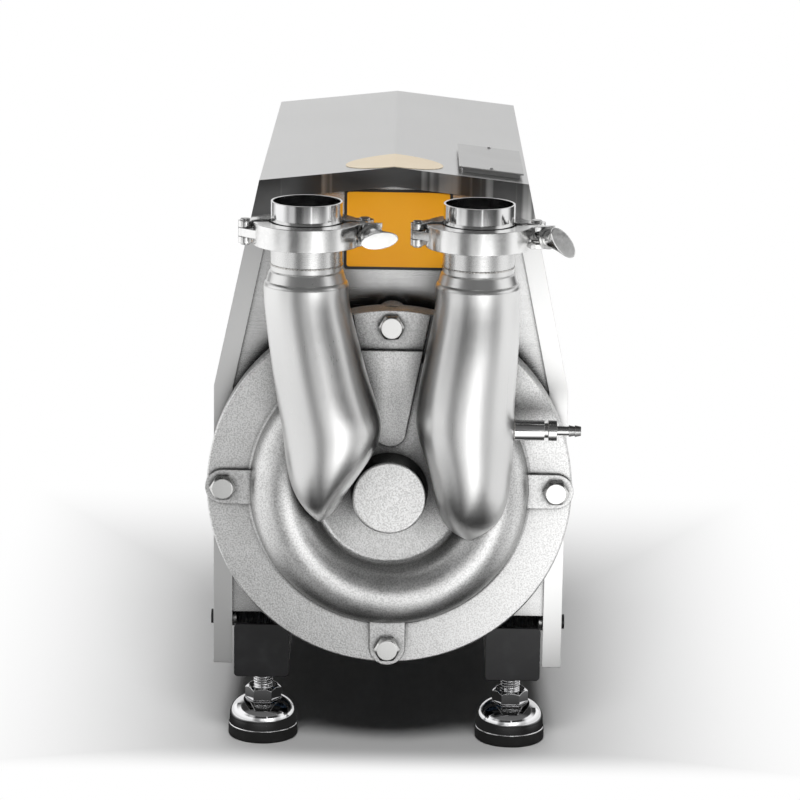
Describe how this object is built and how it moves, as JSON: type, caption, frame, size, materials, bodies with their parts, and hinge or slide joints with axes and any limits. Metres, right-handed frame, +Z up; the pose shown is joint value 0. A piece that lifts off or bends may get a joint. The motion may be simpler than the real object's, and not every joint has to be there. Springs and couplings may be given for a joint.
{
  "type": "sanitary centrifugal pump",
  "caption": "Stainless self-priming sanitary pump with twin clamped top ports, motor in a sheet shroud, on levelling feet.",
  "frame": {"origin": "on the floor, in the plane of the pump axis, halfway along the machine", "axes": "+Z up, +Y from the pump cover back to the motor, +X to the right seen from the cover"},
  "size_m": [0.2724, 0.508, 0.445],
  "materials": {
    "cast_stainless": "blasted casting",
    "satin_stainless": "satin",
    "polished_stainless": "polished",
    "sheet_stainless": "brushed sheet",
    "fastener_steel": "bright",
    "seal_rubber": "matt",
    "seal_face": "lapped",
    "black_plastic": "matt",
    "motor_paint": "semi-matt paint",
    "motor_steel": "machined",
    "foot_rubber": "matt",
    "foot_chrome": "bright"
  },
  "bodies": {
    "machine": {"front_cover": "cast_stainless", "rear_casing": "cast_stainless", "cover_seal_ring": "seal_rubber", "cover_bolts": "fastener_steel", "seal_seat": "seal_face", "motor_lantern": "cast_stainless", "lantern_screws": "fastener_steel", "inlet_pipe": "satin_stainless", "outlet_pipe": "satin_stainless", "lower_ferrules": "polished_stainless", "port_gaskets": "seal_rubber", "inlet_weld_stub": "polished_stainless", "outlet_weld_stub": "polished_stainless", "clamp_back_halves": "cast_stainless", "clamp_pins": "fastener_steel", "drain_sleeve": "satin_stainless", "hose_barb": "satin_stainless", "motor_frame": "motor_paint", "motor_end_shields": "motor_paint", "stator": "motor_steel", "motor_bearings": "motor_steel", "fan_cowl": "motor_paint", "terminal_box": "motor_paint", "terminal_box_lid": "motor_paint", "cable_gland": "black_plastic", "motor_bolts": "fastener_steel", "base_frame": "satin_stainless", "rail_end_caps": "black_plastic", "foot_nuts": "fastener_steel", "shroud": "sheet_stainless", "front_panel": "sheet_stainless", "rear_panel": "sheet_stainless", "shroud_screws": "fastener_steel"},
    "rotor": {"pump_shaft": "satin_stainless", "impeller": "cast_stainless", "impeller_nut": "polished_stainless", "rotating_seal_ring": "seal_face", "motor_shaft": "motor_steel", "rotor_core": "motor_steel", "cooling_fan": "black_plastic"},
    "inlet_swing_bolt": {"inlet_swing_bolt": "fastener_steel"},
    "inlet_clamp_washer": {"inlet_clamp_washer": "fastener_steel"},
    "inlet_wing_nut": {"inlet_wing_nut": "cast_stainless"},
    "inlet_clamp_front": {"inlet_clamp_front": "cast_stainless"},
    "outlet_swing_bolt": {"outlet_swing_bolt": "fastener_steel"},
    "outlet_clamp_washer": {"outlet_clamp_washer": "fastener_steel"},
    "outlet_wing_nut": {"outlet_wing_nut": "cast_stainless"},
    "outlet_clamp_front": {"outlet_clamp_front": "cast_stainless"},
    "front_left_foot": {"front_left_foot_cup": "foot_chrome", "front_left_foot_pad": "foot_rubber"},
    "front_left_stud": {"front_left_foot_stud": "foot_chrome"},
    "front_right_foot": {"front_right_foot_cup": "foot_chrome", "front_right_foot_pad": "foot_rubber"},
    "front_right_stud": {"front_right_foot_stud": "foot_chrome"},
    "back_left_foot": {"back_left_foot_cup": "foot_chrome", "back_left_foot_pad": "foot_rubber"},
    "back_left_stud": {"back_left_foot_stud": "foot_chrome"},
    "back_right_foot": {"back_right_foot_cup": "foot_chrome", "back_right_foot_pad": "foot_rubber"},
    "back_right_stud": {"back_right_foot_stud": "foot_chrome"}
  },
  "joints": [
    {"name": "rotor_spin", "type": "hinge", "parent": "machine", "child": "rotor", "pos_m": [0, -0.178, 0.213], "axis": [0, 1, 0], "continuous": true},
    {"name": "inlet_bolt_swing", "type": "hinge", "parent": "machine", "child": "inlet_swing_bolt", "pos_m": [-0.02, -0.206, 0.4103], "axis": [0, 0, 1], "range_deg": [0, 10]},
    {"name": "inlet_washer_slide", "type": "slide", "parent": "inlet_swing_bolt", "child": "inlet_clamp_washer", "axis": [0.2756, -0.9613, 0], "range_m": [0, 0.00782]},
    {"name": "inlet_nut_spin", "type": "hinge", "parent": "inlet_clamp_washer", "child": "inlet_wing_nut", "pos_m": [-0.02, -0.206, 0.4103], "axis": [0.2756, -0.9613, 0], "range_deg": [0, 2250]},
    {"name": "inlet_clamp_open", "type": "hinge", "parent": "machine", "child": "inlet_clamp_front", "pos_m": [-0.1045, -0.216, 0.4103], "axis": [0, 0, -1], "range_deg": [0, 4.01]},
    {"name": "outlet_bolt_swing", "type": "hinge", "parent": "machine", "child": "outlet_swing_bolt", "pos_m": [0.102, -0.206, 0.4103], "axis": [0, 0, 1], "range_deg": [0, 100]},
    {"name": "outlet_washer_slide", "type": "slide", "parent": "outlet_swing_bolt", "child": "outlet_clamp_washer", "axis": [0.4384, -0.8988, 0], "range_m": [0, 0.00782]},
    {"name": "outlet_nut_spin", "type": "hinge", "parent": "outlet_clamp_washer", "child": "outlet_wing_nut", "pos_m": [0.102, -0.206, 0.4103], "axis": [0.4384, -0.8988, 0], "range_deg": [0, 2250]},
    {"name": "outlet_clamp_open", "type": "hinge", "parent": "machine", "child": "outlet_clamp_front", "pos_m": [0.0175, -0.216, 0.4103], "axis": [0, 0, -1], "range_deg": [0, 4.01]},
    {"name": "front_left_foot_height", "type": "slide", "parent": "machine", "child": "front_left_foot", "axis": [0, 0, 1], "range_m": [-0.012, 0.008]},
    {"name": "front_left_stud_screw", "type": "hinge", "parent": "front_left_foot", "child": "front_left_stud", "pos_m": [-0.0945, -0.115, 0.04], "axis": [0, 0, 1], "range_deg": [-2160.5, 1440.5]},
    {"name": "front_right_foot_height", "type": "slide", "parent": "machine", "child": "front_right_foot", "axis": [0, 0, 1], "range_m": [-0.012, 0.008]},
    {"name": "front_right_stud_screw", "type": "hinge", "parent": "front_right_foot", "child": "front_right_stud", "pos_m": [0.0945, -0.115, 0.04], "axis": [0, 0, 1], "range_deg": [-2160.5, 1440.5]},
    {"name": "back_left_foot_height", "type": "slide", "parent": "machine", "child": "back_left_foot", "axis": [0, 0, 1], "range_m": [-0.012, 0.008]},
    {"name": "back_left_stud_screw", "type": "hinge", "parent": "back_left_foot", "child": "back_left_stud", "pos_m": [-0.0945, 0.217, 0.04], "axis": [0, 0, 1], "range_deg": [-2160.5, 1440.5]},
    {"name": "back_right_foot_height", "type": "slide", "parent": "machine", "child": "back_right_foot", "axis": [0, 0, 1], "range_m": [-0.012, 0.008]},
    {"name": "back_right_stud_screw", "type": "hinge", "parent": "back_right_foot", "child": "back_right_stud", "pos_m": [0.0945, 0.217, 0.04], "axis": [0, 0, 1], "range_deg": [-2160.5, 1440.5]}
  ],
  "couplings": [
    {"joint": "inlet_washer_slide", "follows": "inlet_nut_spin", "m_per_rad": 0.00019894},
    {"joint": "inlet_clamp_open", "follows": "inlet_nut_spin", "ratio": 0.0017778},
    {"joint": "outlet_washer_slide", "follows": "outlet_nut_spin", "m_per_rad": 0.00019894},
    {"joint": "outlet_clamp_open", "follows": "outlet_nut_spin", "ratio": 0.0017778},
    {"joint": "front_left_stud_screw", "follows": "front_left_foot_height", "rad_per_m": 3141.6},
    {"joint": "front_right_stud_screw", "follows": "front_right_foot_height", "rad_per_m": 3141.6},
    {"joint": "back_left_stud_screw", "follows": "back_left_foot_height", "rad_per_m": 3141.6},
    {"joint": "back_right_stud_screw", "follows": "back_right_foot_height", "rad_per_m": 3141.6}
  ]
}
